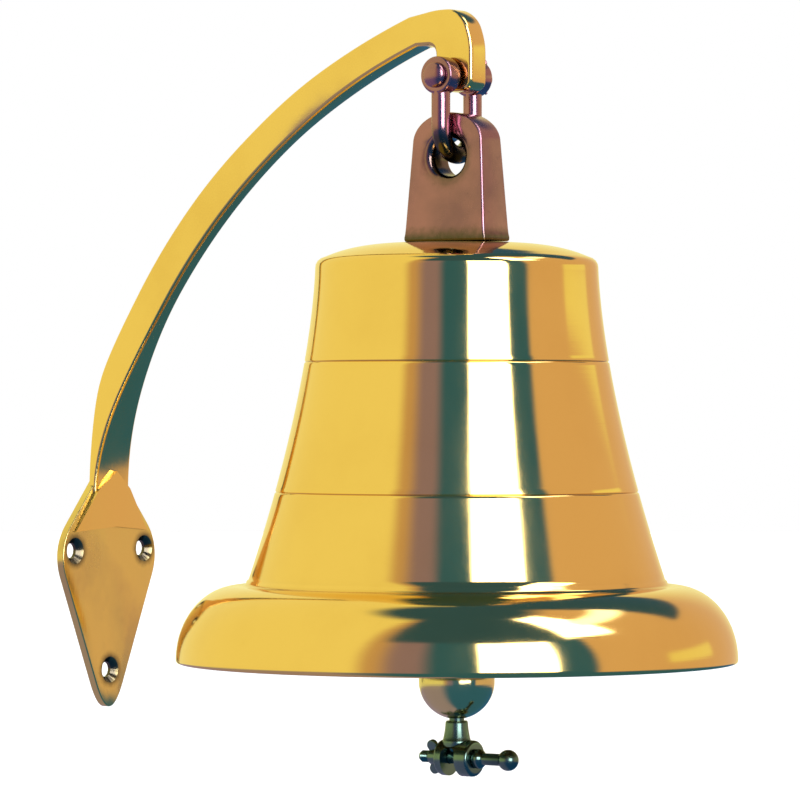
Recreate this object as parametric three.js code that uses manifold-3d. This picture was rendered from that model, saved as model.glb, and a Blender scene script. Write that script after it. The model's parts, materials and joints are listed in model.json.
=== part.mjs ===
// Ship's bell on a wall bracket: a kite-shaped wall plate, a curved arm with a lug, a shackle
// that hangs from the lug, and a bell whose clapper carries a fork for the rope.
//
// Millimetres. The origin is on the wall plate's back face, midway between its two upper screw
// holes. +X points out of the wall, +Z up, and Y runs along the wall.

import * as THREE from 'three';
import { mergeVertices } from 'three/addons/utils/BufferGeometryUtils.js';
import { ConvexGeometry } from 'three/addons/geometries/ConvexGeometry.js';
import Module from 'manifold-3d';

const wasm = await Module();
wasm.setup();

// ---- Driving dimensions ----

const CLEARANCE = 0.3;                 // between two pieces that touch
const BELL_X = 241;                    // distance of the bell's axis from the wall

const MOUTH_RADIUS = 150;
const MOUTH_Z = -56;
const RIM_TOP_Z = -14.5;               // where the bulging rim meets the waist
const RIM_TOP_RADIUS = 117;
const WAIST_FOOT_RADIUS = 112.1;
const SHOULDER_Z = 157.7;
const SHOULDER_RADIUS = 75.5;
const CROWN_Z = 168.2;
const CROWN_THICKNESS = 8;
const WALL_THICKNESS = 7;

const PLATE_THICKNESS = 5;
const PLATE_TOP = 53;                  // corners of the kite, before they are rounded
const PLATE_SIDE = 46;
const PLATE_SIDE_Z = 1;
const PLATE_BOTTOM = -102;
const SCREW_RADIUS = 4.25;
const SCREW_SINK_RADIUS = 7.3;
const SCREW_SIDE_Y = 31;
const SCREW_LOW_Z = -67.5;

const ARM_WIDTH = 10.5;                // along the wall, at the arm's slimmest
const ARM_DEPTH = 20;                  // across the arm, from its upper to its under side
const ARM_ARC_X = 345.8;               // centre of the arc that the underside follows
const ARM_ARC_Z = -62.9;
const ARM_ARC_RADIUS = 358.9;
const ARM_FOOT_Z = 30;
const ARM_FOOT_WIDTH = 31;
const ARM_FOOT_FRONT = 6.8;             // the foot's front face, in X
const ARM_BACK = 0.5;                   // the foot's back face, in X
const ARM_BACK_BLEND = 4;               // how softly the back leaves the wall
const LUG_WIDTH = 15;

const HANGER_Z = 256.5;                // axis of the shackle pin
const HANGER_PIN_RADIUS = 4.7;
const SHACKLE_LEG_Y = 15;
const SHACKLE_BAR_RADIUS = 5;
const BOW_Z = 215;                     // lowest point of the shackle's centre line
const EAR_RADIUS = 10;
const EAR_HALF_THICKNESS = 5;

const EYE_Z = 213.5;
const EYE_RADIUS = 10.2;
const HEADSTOCK_TOP_Z = 237.3;
const STUD_RADIUS = 7;

const PIVOT_Z = 125;                   // axis of the clapper's pivot pin
const PIVOT_PIN_RADIUS = 4;
const YOKE_GAP = 11;
const YOKE_WIDTH = 20;

const BALL_Z = -66;
const BALL_RADIUS = 20.3;
const CLAPPER_STUD_RADIUS = 4;
const FORK_PIN_Z = -107;               // axis of the lanyard pin
const FORK_PIN_RADIUS = 3.2;
const FORK_BACK = 9.3;                  // from the clapper's axis to the fork's two outer faces
const FORK_FRONT = 12.3;
const FORK_GAP = 9;
const FORK_EAR_RADIUS = 9.7;

// ---- Materials ----

const brass = (color, roughness) => new THREE.MeshStandardMaterial({ color, roughness, metalness: 1 });
const POLISHED_BRASS = brass(0xe8c15a, 0.12);
const SATIN_BRASS = brass(0xd9a55a, 0.3);
const DARK_BRASS = brass(0xa9795c, 0.3);

// ---- Solids ----

const X_AXIS = new THREE.Vector3(1, 0, 0);
const Y_AXIS = new THREE.Vector3(0, 1, 0);
const Z_AXIS = new THREE.Vector3(0, 0, 1);

function toSolid(geometry) {
  const bare = geometry.clone();
  bare.deleteAttribute('normal');
  bare.deleteAttribute('uv');
  const merged = mergeVertices(bare, 1e-4);
  return new wasm.Manifold(new wasm.Mesh({
    numProp: 3,
    vertProperties: new Float32Array(merged.attributes.position.array),
    triVerts: new Uint32Array(merged.index.array),
  }));
}

function toGeometry(solid) {
  const { vertProperties, triVerts, numProp } = solid.getMesh();
  const geometry = new THREE.BufferGeometry();
  const positions = new Float32Array((vertProperties.length / numProp) * 3);
  for (let i = 0; i < positions.length / 3; i += 1) {
    for (let k = 0; k < 3; k += 1) positions[3 * i + k] = vertProperties[numProp * i + k];
  }
  geometry.setAttribute('position', new THREE.BufferAttribute(positions, 3));
  geometry.setIndex(new THREE.BufferAttribute(new Uint32Array(triVerts), 1));
  geometry.computeVertexNormals();
  return geometry;
}

// Starts from one geometry, adds some and cuts others away.
function combine(base, { add = [], cut = [] }) {
  let solid = toSolid(base);
  for (const geometry of add) solid = solid.add(toSolid(geometry));
  for (const geometry of cut) solid = solid.subtract(toSolid(geometry));
  return toGeometry(solid);
}

// Turns a geometry that stands on the lathe's own Y axis so that it lies along another axis.
function along(axis, geometry) {
  return geometry.applyQuaternion(new THREE.Quaternion().setFromUnitVectors(Y_AXIS, axis));
}

// A turned piece: [radius, height] pairs, from one end of the axis to the other.
function turned(profile, axis = Z_AXIS, segments = 16) {
  const points = profile.map(([radius, height]) => new THREE.Vector2(radius, height));
  return along(axis, new THREE.LatheGeometry(points, segments));
}

// A plain round bar between two heights on its axis.
function bar(radius, from, to, axis = Z_AXIS, segments = 20) {
  return turned([[0, from], [radius, from], [radius, to], [0, to]], axis, segments);
}

function ring(outer, inner, from, to, axis = Z_AXIS, segments = 20) {
  return turned([[inner, from], [outer, from], [outer, to], [inner, to], [inner, from]], axis, segments);
}

function box(x, y, z) {
  return new THREE.BoxGeometry(x, y, z);
}

// Extrudes an outline drawn in X and Z, centred on Y = 0.
function slabXZ(shape, width, bevel = 0) {
  const geometry = new THREE.ExtrudeGeometry(shape, {
    depth: width - 2 * bevel,
    bevelEnabled: bevel > 0,
    bevelThickness: bevel,
    bevelSize: bevel,
    bevelOffset: -bevel,
    bevelSegments: 1,
    curveSegments: 8,
  });
  geometry.translate(0, 0, -(width - 2 * bevel) / 2);
  return geometry.rotateX(Math.PI / 2);
}

// A round bar that follows a line of points.
function bentBar(points, radius, steps, sides) {
  const section = new THREE.Shape(new THREE.EllipseCurve(0, 0, radius, radius).getPoints(sides));
  const extrudePath = new THREE.CatmullRomCurve3(points, false, 'centripetal');
  return new THREE.ExtrudeGeometry(section, { steps, extrudePath });
}

// ---- Wall bracket ----

// Kite with each corner rounded by a curve that starts the given distance before the corner.
function kite(gap = 0) {
  const top = PLATE_TOP + 1.6 * gap;
  const side = PLATE_SIDE + 1.3 * gap;
  const corners = [[0, top, 12], [side, PLATE_SIDE_Z, 18], [0, PLATE_BOTTOM, 30], [-side, PLATE_SIDE_Z, 18]];
  const shape = new THREE.Shape();
  corners.forEach(([y, z, reach], i) => {
    const corner = new THREE.Vector2(y, z);
    const before = corners[(i + corners.length - 1) % corners.length];
    const after = corners[(i + 1) % corners.length];
    const start = new THREE.Vector2(before[0] - y, before[1] - z).setLength(reach).add(corner);
    const end = new THREE.Vector2(after[0] - y, after[1] - z).setLength(reach).add(corner);
    if (i === 0) shape.moveTo(start.x, start.y);
    else shape.lineTo(start.x, start.y);
    shape.quadraticCurveTo(corner.x, corner.y, end.x, end.y);
  });
  shape.closePath();
  return shape;
}

const SINK_DEPTH = SCREW_SINK_RADIUS - SCREW_RADIUS;
const RIVET_RADIUS = 2.5;
const RIVET_HEAD_RADIUS = 4.5;
const RIVET_HEAD_DEPTH = RIVET_HEAD_RADIUS - RIVET_RADIUS;
const RIVET_END_X = 8;
const RIVET_HEIGHTS = { foot_rivet_upper: 39.5, foot_rivet_lower: 28.5 };

function screwHole(y, z) {
  return turned([
    [0, -1], [SCREW_RADIUS, -1], [SCREW_RADIUS, PLATE_THICKNESS - SINK_DEPTH],
    [SCREW_SINK_RADIUS + 1, PLATE_THICKNESS + 1], [0, PLATE_THICKNESS + 1],
  ], X_AXIS).translate(0, y, z);
}

// A rivet's solid, or the hole for it when gap is not zero.
function rivet(z, gap = 0) {
  const back = gap > 0 ? -1 : 0;
  return turned([
    [0, back], [RIVET_HEAD_RADIUS + gap - back, back], [RIVET_RADIUS + gap, RIVET_HEAD_DEPTH],
    [RIVET_RADIUS + gap, RIVET_END_X + gap], [0, RIVET_END_X + gap],
  ], X_AXIS, 20).translate(0, 0, z);
}

function wallPlate() {
  const bevel = 1;
  const plate = new THREE.ExtrudeGeometry(kite(), {
    depth: PLATE_THICKNESS - bevel,
    bevelEnabled: true,
    bevelThickness: bevel / 2,
    bevelSize: bevel / 2,
    bevelOffset: -bevel / 2,
    bevelSegments: 1,
    curveSegments: 6,
  });
  plate.translate(0, 0, bevel / 2);
  // The outline's own axes become Y and Z, and its depth becomes X.
  plate.applyMatrix4(new THREE.Matrix4().makeBasis(Y_AXIS, Z_AXIS, X_AXIS));
  const holes = [screwHole(SCREW_SIDE_Y, 0), screwHole(-SCREW_SIDE_Y, 0), screwHole(0, SCREW_LOW_Z)];
  const rivetHoles = Object.values(RIVET_HEIGHTS).map((z) => rivet(z, CLEARANCE));
  return combine(plate, { cut: [...holes, ...rivetHoles] });
}

// The arm's underside in X and Z: a short upright foot, then the long arc.
function armLine() {
  const arcStart = THREE.MathUtils.degToRad(153.5);
  const arcEnd = THREE.MathUtils.degToRad(110.5);
  const arc = new THREE.EllipseCurve(ARM_ARC_X, ARM_ARC_Z, ARM_ARC_RADIUS, ARM_ARC_RADIUS, arcStart, arcEnd, true);
  const join = arc.getPoint(0);
  const slope = arc.getTangent(0);
  const foot = new THREE.Vector2(ARM_FOOT_FRONT, ARM_FOOT_Z);
  const line = new THREE.CurvePath();
  line.add(new THREE.CubicBezierCurve(
    foot, new THREE.Vector2(foot.x, foot.y + 24), join.clone().addScaledVector(slope, -25), join,
  ));
  line.add(arc);
  return line;
}

// Depth across the arm: full over most of its length, a little less at the nose.
function armDepth(share) {
  return ARM_DEPTH - 3 * THREE.MathUtils.smoothstep(share, 0.5, 1);
}

// The upper side can't go behind the foot's back face; it leaves it in a soft bend.
function inFrontOfWall(x) {
  const ahead = x - ARM_BACK;
  return ARM_BACK + (ahead + Math.hypot(ahead, ARM_BACK_BLEND)) / 2;
}

// Width along the wall: a broad foot, a slim arm, and a wider lug.
function armWidth(z) {
  const foot = 1 - THREE.MathUtils.smoothstep(z, ARM_FOOT_Z, 145);
  const lug = THREE.MathUtils.smoothstep(z, 225, 262);
  return ARM_WIDTH + (ARM_FOOT_WIDTH - ARM_WIDTH) * foot + (LUG_WIDTH - ARM_WIDTH) * lug;
}

// Half of the fishtail at the arm's foot: it falls from a middle ridge to a wing's edge.
function footWing(side) {
  const back = PLATE_THICKNESS + CLEARANCE;
  const outline = [[0, 44, 5], [0, 13, 5], [32, 10.5, 1], [14, 34, 3.25]];
  const points = [];
  for (const [y, z, height] of outline) {
    points.push(new THREE.Vector3(back, side * y, z));
    points.push(new THREE.Vector3(back + height, side * y, z));
  }
  return new ConvexGeometry(points);
}

function bracketArm() {
  const line = armLine();
  const steps = 26;
  const upper = [];
  const lower = [];
  for (let i = 0; i <= steps; i += 1) {
    const share = i / steps;
    const point = line.getPointAt(share);
    const slope = line.getTangentAt(share);
    lower.push(point);
    const top = point.clone().add(new THREE.Vector2(-slope.y, slope.x).multiplyScalar(armDepth(share)));
    upper.push(top.setX(inFrontOfWall(top.x)));
  }
  // The nose slopes down to the lug's front face; the lug has a rounded lower end.
  const noseTop = 292.4;
  const lugBack = BELL_X - 9;
  const lugFront = BELL_X + 14.5;
  const lugBottom = HANGER_Z - 8;
  const notchZ = 273.5;
  const outline = new THREE.Shape(upper);
  outline.quadraticCurveTo(lugBack, noseTop, lugFront - 16, noseTop);
  outline.quadraticCurveTo(lugFront - 8, noseTop, lugFront - 4, noseTop - 5.5);
  outline.quadraticCurveTo(lugFront, noseTop - 11, lugFront, noseTop - 18);
  outline.lineTo(lugFront, lugBottom + 6);
  outline.quadraticCurveTo(lugFront, lugBottom, lugFront - 6, lugBottom);
  outline.lineTo(lugBack + 5, lugBottom);
  outline.quadraticCurveTo(lugBack, lugBottom, lugBack, lugBottom + 5);
  outline.lineTo(lugBack, notchZ);
  lower.reverse().forEach((point) => outline.lineTo(point.x, point.y));
  outline.closePath();

  const arm = slabXZ(outline, ARM_WIDTH, 2.2);
  const position = arm.attributes.position;
  for (let i = 0; i < position.count; i += 1) {
    const isLug = position.getX(i) > lugBack - 1;
    const width = isLug ? LUG_WIDTH : armWidth(position.getZ(i));
    position.setY(i, (position.getY(i) * width) / ARM_WIDTH);
  }
  const pinHole = bar(HANGER_PIN_RADIUS + CLEARANCE, -20, 20, Y_AXIS).translate(BELL_X, 0, HANGER_Z);
  const rivetHoles = Object.values(RIVET_HEIGHTS).map((z) => rivet(z, CLEARANCE));
  // The plate's upper corner sits in a pocket in the foot's back.
  const pocket = new THREE.ExtrudeGeometry(kite(CLEARANCE), {
    depth: 2 * (PLATE_THICKNESS + CLEARANCE),
    bevelEnabled: false,
    curveSegments: 6,
  });
  pocket.translate(0, 0, -(PLATE_THICKNESS + CLEARANCE));
  pocket.applyMatrix4(new THREE.Matrix4().makeBasis(Y_AXIS, Z_AXIS, X_AXIS));
  return combine(arm, { add: [footWing(1), footWing(-1)], cut: [pocket, pinHole, ...rivetHoles] });
}

// ---- Hanger ----

const EAR_OUTER = SHACKLE_LEG_Y + EAR_HALF_THICKNESS;
const WASHER_THICKNESS = 1.6;
const WASHER_OUTER = EAR_OUTER + CLEARANCE + WASHER_THICKNESS;
const PIN_END = WASHER_OUTER + 5.6;
const SPLIT_PIN_BAR = 0.8;
const SPLIT_PIN_HOLE = 2.1;

function hangerShackle() {
  const bowCentreZ = BOW_Z + SHACKLE_LEG_Y;
  const points = [new THREE.Vector3(BELL_X, -SHACKLE_LEG_Y, HANGER_Z)];
  const bends = 12;
  for (let i = 0; i <= bends; i += 1) {
    const angle = Math.PI * (1 + i / bends);
    points.push(new THREE.Vector3(
      BELL_X, SHACKLE_LEG_Y * Math.cos(angle), bowCentreZ + SHACKLE_LEG_Y * Math.sin(angle),
    ));
  }
  points.push(new THREE.Vector3(BELL_X, SHACKLE_LEG_Y, HANGER_Z));
  const ears = [-SHACKLE_LEG_Y, SHACKLE_LEG_Y].map((y) => (
    bar(EAR_RADIUS, y - EAR_HALF_THICKNESS, y + EAR_HALF_THICKNESS, Y_AXIS, 24).translate(BELL_X, 0, HANGER_Z)
  ));
  const pinHole = bar(HANGER_PIN_RADIUS + CLEARANCE, -30, 30, Y_AXIS).translate(BELL_X, 0, HANGER_Z);
  return combine(bentBar(points, SHACKLE_BAR_RADIUS, 24, 10), { add: ears, cut: [pinHole] });
}

function shacklePin() {
  const headStart = -EAR_OUTER - CLEARANCE;
  const headRadius = 6.8;
  const headHeight = 4.6;
  const headRim = 1.2;
  const dome = [];
  const steps = 5;
  for (let i = 0; i <= steps; i += 1) {
    const angle = (i / steps) * Math.PI / 2;
    dome.push([headRadius * Math.sin(angle), headStart - headRim - (headHeight - headRim) * Math.cos(angle)]);
  }
  const pin = turned([
    ...dome, [headRadius, headStart], [HANGER_PIN_RADIUS, headStart],
    [HANGER_PIN_RADIUS, PIN_END - 1], [HANGER_PIN_RADIUS - 1, PIN_END], [0, PIN_END],
  ], Y_AXIS);
  const splitHole = bar(SPLIT_PIN_HOLE, -10, 10, Z_AXIS, 12).translate(0, PIN_END - 3, 0);
  return combine(pin, { cut: [splitHole] }).translate(BELL_X, 0, HANGER_Z);
}

function shackleWasher() {
  const washer = ring(8, HANGER_PIN_RADIUS + CLEARANCE, WASHER_OUTER - WASHER_THICKNESS, WASHER_OUTER, Y_AXIS);
  return washer.translate(BELL_X, 0, HANGER_Z);
}

// A split pin: an eye above the pin's side, and two legs through the hole that splay below it.
function splitPin(pinRadius, spread) {
  const legX = 1;
  const eyeRadius = 2.2;
  const eyeZ = pinRadius + eyeRadius + 1.4;
  const eye = [];
  const turns = 6;
  for (let i = 0; i <= turns; i += 1) {
    const angle = THREE.MathUtils.degToRad(-60 + (300 * i) / turns);
    eye.push(new THREE.Vector3(eyeRadius * Math.cos(angle), 0, eyeZ + eyeRadius * Math.sin(angle)));
  }
  const leg = (side) => [
    new THREE.Vector3(side * legX, 0, pinRadius),
    new THREE.Vector3(side * legX, 0, -pinRadius),
    new THREE.Vector3(side * (legX + spread), 0, -pinRadius - 3.2),
  ];
  return bentBar([...leg(1).reverse(), ...eye, ...leg(-1)], SPLIT_PIN_BAR, 20, 5);
}

function shackleSplitPin() {
  return splitPin(HANGER_PIN_RADIUS, 1.6).translate(BELL_X, PIN_END - 3, HANGER_Z);
}

// ---- Bell ----

const CROWN_UNDERSIDE_Z = CROWN_Z - CROWN_THICKNESS;
const CROWN_WASHER_THICKNESS = 2;
const CROWN_NUT_THICKNESS = 10;
const WASHER_TOP_Z = CROWN_UNDERSIDE_Z - CLEARANCE;
const NUT_TOP_Z = WASHER_TOP_Z - CROWN_WASHER_THICKNESS - CLEARANCE;
const YOKE_TOP_Z = NUT_TOP_Z - CROWN_NUT_THICKNESS - CLEARANCE;
const STUD_END_Z = YOKE_TOP_Z - 9;
const HEADSTOCK_FOOT_Z = CROWN_Z + CLEARANCE;

// Height of the crown's outside at a radius; it is nearly flat in the middle.
function crownZ(radius) {
  return CROWN_Z - 7.4 * (radius / 69.4) ** 4;
}

function waistRadius(z) {
  const share = (SHOULDER_Z - z) / (SHOULDER_Z - RIM_TOP_Z);
  return SHOULDER_RADIUS + (WAIST_FOOT_RADIUS - SHOULDER_RADIUS) * share ** 1.57;
}

function bellBody() {
  const profile = [];
  const boreRadius = STUD_RADIUS + 0.6;
  // Outside: crown, shoulder, waist, rim.
  for (const radius of [boreRadius, 36, 52, 64, 70]) profile.push([radius, crownZ(radius)]);
  profile.push([73.6, 159.2], [SHOULDER_RADIUS - 0.3, 156.6]);
  const waistSteps = 7;
  for (let i = 1; i <= waistSteps; i += 1) {
    const z = THREE.MathUtils.lerp(SHOULDER_Z, RIM_TOP_Z + 2.5, i / waistSteps);
    profile.push([waistRadius(z), z]);
  }
  const rimHeight = RIM_TOP_Z - MOUTH_Z - 2;
  const rimSteps = 6;
  for (let i = 0; i <= rimSteps; i += 1) {
    const angle = (1 - i / rimSteps) * Math.PI / 2;
    profile.push([
      RIM_TOP_RADIUS + (MOUTH_RADIUS - RIM_TOP_RADIUS) * Math.cos(angle),
      MOUTH_Z + 1.5 + rimHeight * Math.sin(angle),
    ]);
  }
  // Lip, then the inside: thick sound bow, waist, crown.
  profile.push([MOUTH_RADIUS - 1.5, MOUTH_Z], [138, MOUTH_Z], [130.5, -50], [122.5, -39], [115.5, -24]);
  profile.push([107.5, -8]);
  const insideSteps = 5;
  for (let i = 0; i <= insideSteps; i += 1) {
    const z = THREE.MathUtils.lerp(4, 146, i / insideSteps);
    profile.push([waistRadius(z) - WALL_THICKNESS, z]);
  }
  profile.push([64, 151.5], [50, CROWN_UNDERSIDE_Z - 2.5], [31, CROWN_UNDERSIDE_Z]);
  profile.push([boreRadius, CROWN_UNDERSIDE_Z], [boreRadius, crownZ(boreRadius)]);
  // The lathe needs the profile to run from top to bottom on the inside, so it is reversed.
  return turned(profile.reverse(), Z_AXIS, 40).translate(BELL_X, 0, 0);
}

function headstock() {
  const footHalf = 26.2;
  const neckHalf = 25.3;
  const topHalf = 22.3;
  const archZ = 221.5;
  const outline = new THREE.Shape();
  outline.moveTo(-footHalf, HEADSTOCK_FOOT_Z);
  outline.lineTo(footHalf, HEADSTOCK_FOOT_Z);
  outline.lineTo(footHalf, HEADSTOCK_FOOT_Z + 3);
  outline.quadraticCurveTo(neckHalf + 0.3, HEADSTOCK_FOOT_Z + 5, neckHalf, HEADSTOCK_FOOT_Z + 9);
  outline.lineTo(topHalf, archZ);
  outline.absellipse(0, archZ, topHalf, HEADSTOCK_TOP_Z - archZ, 0, Math.PI, false);
  outline.lineTo(-neckHalf, HEADSTOCK_FOOT_Z + 9);
  outline.quadraticCurveTo(-neckHalf - 0.3, HEADSTOCK_FOOT_Z + 5, -footHalf, HEADSTOCK_FOOT_Z + 3);
  outline.closePath();
  const footThickness = 25;
  const topThickness = 18;
  const block = slabXZ(outline, footThickness, 1.4);
  const position = block.attributes.position;
  for (let i = 0; i < position.count; i += 1) {
    const share = (position.getZ(i) - HEADSTOCK_FOOT_Z) / (HEADSTOCK_TOP_Z - HEADSTOCK_FOOT_Z);
    const scale = THREE.MathUtils.lerp(1, topThickness / footThickness, Math.min(1, Math.max(0, share)));
    position.setY(i, position.getY(i) * scale);
  }
  // The eye is straight in the middle and flares towards both faces.
  const land = 5;
  const reach = 15;
  const flare = EYE_RADIUS + reach - land;
  const eye = turned([
    [0, -reach], [flare, -reach], [EYE_RADIUS, -land], [EYE_RADIUS, land], [flare, reach], [0, reach],
  ], Y_AXIS, 24).translate(0, 0, EYE_Z);
  const stud = bar(STUD_RADIUS, STUD_END_Z, HEADSTOCK_FOOT_Z + 4, Z_AXIS, 20);
  return combine(block, { add: [stud], cut: [eye] }).translate(BELL_X, 0, 0);
}

function crownWasher() {
  const washer = ring(17, STUD_RADIUS + CLEARANCE, WASHER_TOP_Z - CROWN_WASHER_THICKNESS, WASHER_TOP_Z);
  return washer.translate(BELL_X, 0, 0);
}

function crownNut() {
  const acrossCorners = 25.4;
  const nut = along(Z_AXIS, new THREE.CylinderGeometry(acrossCorners / 2, acrossCorners / 2, CROWN_NUT_THICKNESS, 6));
  nut.translate(0, 0, NUT_TOP_Z - CROWN_NUT_THICKNESS / 2);
  const bore = bar(STUD_RADIUS + CLEARANCE, YOKE_TOP_Z - 5, NUT_TOP_Z + 5, Z_AXIS, 20);
  return combine(nut, { cut: [bore] }).translate(BELL_X, 0, 0);
}

// The yoke screws onto the stud's end, and its two ears hold the clapper's pivot pin.
function clapperYoke() {
  const earHeight = YOKE_TOP_Z - PIVOT_Z;
  const earRadius = YOKE_WIDTH / 2;
  const blockHeight = 10;
  const body = box(YOKE_WIDTH + 2, YOKE_WIDTH, earHeight).translate(0, 0, PIVOT_Z + earHeight / 2);
  const roundEnd = bar(earRadius, -YOKE_WIDTH / 2 - 1, YOKE_WIDTH / 2 + 1, X_AXIS, 24).translate(0, 0, PIVOT_Z);
  const gapHeight = earHeight - blockHeight + earRadius + 2;
  const gap = box(YOKE_GAP, 2 * YOKE_WIDTH, gapHeight).translate(0, 0, YOKE_TOP_Z - blockHeight - gapHeight / 2);
  const studHole = bar(STUD_RADIUS + CLEARANCE, PIVOT_Z, YOKE_TOP_Z + 5, Z_AXIS, 20);
  const pinHole = bar(PIVOT_PIN_RADIUS + CLEARANCE, -YOKE_WIDTH, YOKE_WIDTH, X_AXIS).translate(0, 0, PIVOT_Z);
  return combine(body, { add: [roundEnd], cut: [gap, studHole, pinHole] }).translate(BELL_X, 0, 0);
}

const PIVOT_PIN_END = YOKE_WIDTH / 2 + 1 + CLEARANCE + 6;

function pivotPin() {
  const headStart = -YOKE_WIDTH / 2 - 1 - CLEARANCE;
  const pin = turned([
    [0, headStart - 3], [5.5, headStart - 3], [6.2, headStart - 2.3], [6.2, headStart],
    [PIVOT_PIN_RADIUS, headStart], [PIVOT_PIN_RADIUS, PIVOT_PIN_END - 1],
    [PIVOT_PIN_RADIUS - 1, PIVOT_PIN_END], [0, PIVOT_PIN_END],
  ], X_AXIS);
  const splitHole = bar(SPLIT_PIN_HOLE, -10, 10, Z_AXIS, 12).translate(PIVOT_PIN_END - 3.2, 0, 0);
  return combine(pin, { cut: [splitHole] }).translate(BELL_X, 0, PIVOT_Z);
}

function pivotSplitPin() {
  const pin = splitPin(PIVOT_PIN_RADIUS, 1.6).rotateZ(Math.PI / 2);
  return pin.translate(BELL_X + PIVOT_PIN_END - 3.2, 0, PIVOT_Z);
}

// ---- Clapper ----

const ROD_RADIUS = 5.5;
const ROD_FOOT_Z = BALL_Z + BALL_RADIUS - 0.4;
const BALL_FOOT_Z = BALL_Z - BALL_RADIUS + 0.4;

function clapperRod() {
  const eyeRadius = 9;
  const eyeThickness = YOKE_GAP - 1.6;
  const rod = turned([
    [0, BALL_Z + 2], [CLAPPER_STUD_RADIUS, BALL_Z + 2], [CLAPPER_STUD_RADIUS, ROD_FOOT_Z + 1.3],
    [ROD_RADIUS + 0.8, ROD_FOOT_Z + 1.3], [ROD_RADIUS, ROD_FOOT_Z + 14],
    [ROD_RADIUS - 0.9, PIVOT_Z - eyeRadius], [ROD_RADIUS - 0.9, PIVOT_Z - 6], [0, PIVOT_Z - 6],
  ]);
  const eye = bar(eyeRadius, -eyeThickness / 2, eyeThickness / 2, X_AXIS, 24).translate(0, 0, PIVOT_Z);
  const bore = bar(PIVOT_PIN_RADIUS + CLEARANCE, -YOKE_WIDTH, YOKE_WIDTH, X_AXIS).translate(0, 0, PIVOT_Z);
  return combine(rod, { add: [eye], cut: [bore] }).translate(BELL_X, 0, 0);
}

function clapperBall() {
  const ball = along(Z_AXIS, new THREE.SphereGeometry(BALL_RADIUS, 24, 14));
  const bore = bar(CLAPPER_STUD_RADIUS + CLEARANCE, -2 * BALL_RADIUS, 2 * BALL_RADIUS);
  return combine(ball, { cut: [bore] }).translate(BELL_X, 0, BALL_Z);
}

// The neck screws into the ball from below and ends in two round ears.
function ropeFork() {
  const neck = turned([
    [0, FORK_PIN_Z], [7, FORK_PIN_Z], [7.8, FORK_PIN_Z + 8.4], [7.2, FORK_PIN_Z + 10],
    [6.4, FORK_PIN_Z + 15], [6, BALL_FOOT_Z - 1.3], [CLAPPER_STUD_RADIUS, BALL_FOOT_Z - 1.3],
    [CLAPPER_STUD_RADIUS, BALL_Z - 2], [0, BALL_Z - 2],
  ]);
  const ears = bar(FORK_EAR_RADIUS, -FORK_BACK, FORK_FRONT, X_AXIS, 24).translate(0, 0, FORK_PIN_Z);
  const gapHeight = FORK_EAR_RADIUS + 4.2;
  const gap = box(FORK_GAP, 3 * FORK_EAR_RADIUS, gapHeight + 4).translate(0, 0, FORK_PIN_Z - gapHeight / 2 + 2);
  const pinHole = bar(FORK_PIN_RADIUS + CLEARANCE, -20, 20, X_AXIS).translate(0, 0, FORK_PIN_Z);
  return combine(neck, { add: [ears], cut: [gap, pinHole] }).translate(BELL_X, 0, 0);
}

const NUT_HUB_LENGTH = 7.2;

function lanyardPin() {
  const headRadius = 5.65;
  const headCentre = 33;
  const threadEnd = -23;
  const collarRadius = 5.2;
  const collar = FORK_FRONT + CLEARANCE;
  const profile = [
    [0, threadEnd], [FORK_PIN_RADIUS - 0.6, threadEnd], [FORK_PIN_RADIUS, threadEnd + 0.8],
    [FORK_PIN_RADIUS, collar], [collarRadius, collar], [collarRadius, collar + 3], [FORK_PIN_RADIUS, collar + 5],
  ];
  const steps = 10;
  const first = Math.PI - Math.asin(FORK_PIN_RADIUS / headRadius);
  for (let i = 0; i <= steps; i += 1) {
    const angle = first * (1 - i / steps);
    profile.push([headRadius * Math.sin(angle), headCentre + headRadius * Math.cos(angle)]);
  }
  profile[profile.length - 1][0] = 0;
  return turned(profile, X_AXIS).translate(BELL_X, 0, FORK_PIN_Z);
}

function wingNut() {
  const hubRadius = 4.9;
  const wingSpan = 18.6;
  const wingThickness = 2.8;
  const face = -FORK_BACK - CLEARANCE;
  const end = face - NUT_HUB_LENGTH;
  const tipRadius = 3.2;
  const hub = bar(hubRadius, end, face, X_AXIS);
  const wing = (side) => {
    const shape = new THREE.Shape();
    const tip = side * (wingSpan / 2 - tipRadius);
    shape.absarc(end + 2, tip, tipRadius, 0, 2 * Math.PI);
    const round = slabXZ(shape, wingThickness);
    const web = box(5, wingThickness, Math.abs(tip)).translate(end + 3.4, 0, tip / 2);
    return [round, web];
  };
  const bore = bar(FORK_PIN_RADIUS + CLEARANCE, -30, 0, X_AXIS);
  const nut = combine(hub, { add: [...wing(1), ...wing(-1)], cut: [bore] });
  return nut.rotateX(THREE.MathUtils.degToRad(12)).translate(BELL_X, 0, FORK_PIN_Z);
}

// ---- Assembly ----

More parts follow.
